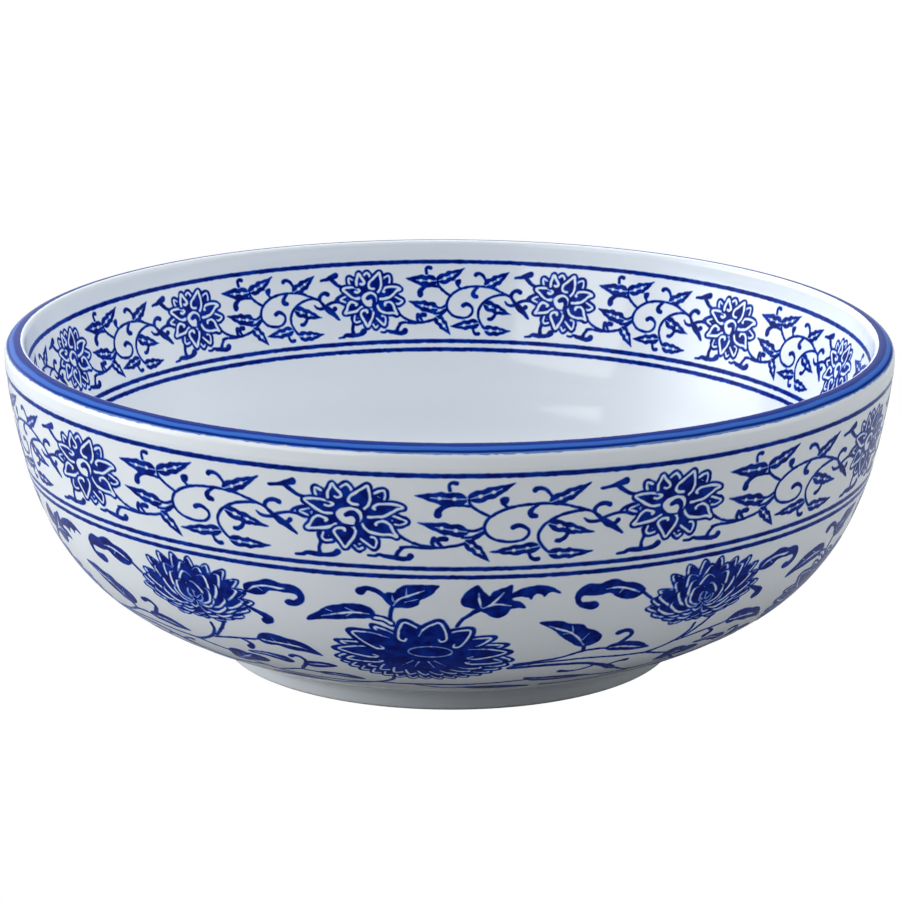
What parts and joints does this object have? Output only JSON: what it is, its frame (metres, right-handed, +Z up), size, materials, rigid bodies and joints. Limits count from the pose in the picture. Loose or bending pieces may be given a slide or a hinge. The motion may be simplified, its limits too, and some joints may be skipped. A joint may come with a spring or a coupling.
{
  "type": "porcelain serving bowl",
  "caption": "Deep round serving bowl with a rolled blue lip, a steep rounded wall decorated in cobalt blue scrollwork, and a low foot ring.",
  "frame": {"origin": "centre of the foot ring's flat underside, on the plane the bowl stands on", "axes": "+Z up along the bowl's axis, through the middle of the mouth; -Y towards the viewer"},
  "size_m": [0.203, 0.203, 0.0738],
  "materials": {
    "porcelain_glaze": "cool white porcelain under a clear, glossy glaze",
    "cobalt_glaze": "cobalt blue painted or printed under the same clear, glossy glaze"
  },
  "bodies": {
    "root": {"bowl_body": "porcelain_glaze", "rim_lip": "cobalt_glaze", "foot_ring": "porcelain_glaze"}
  },
  "joints": []
}
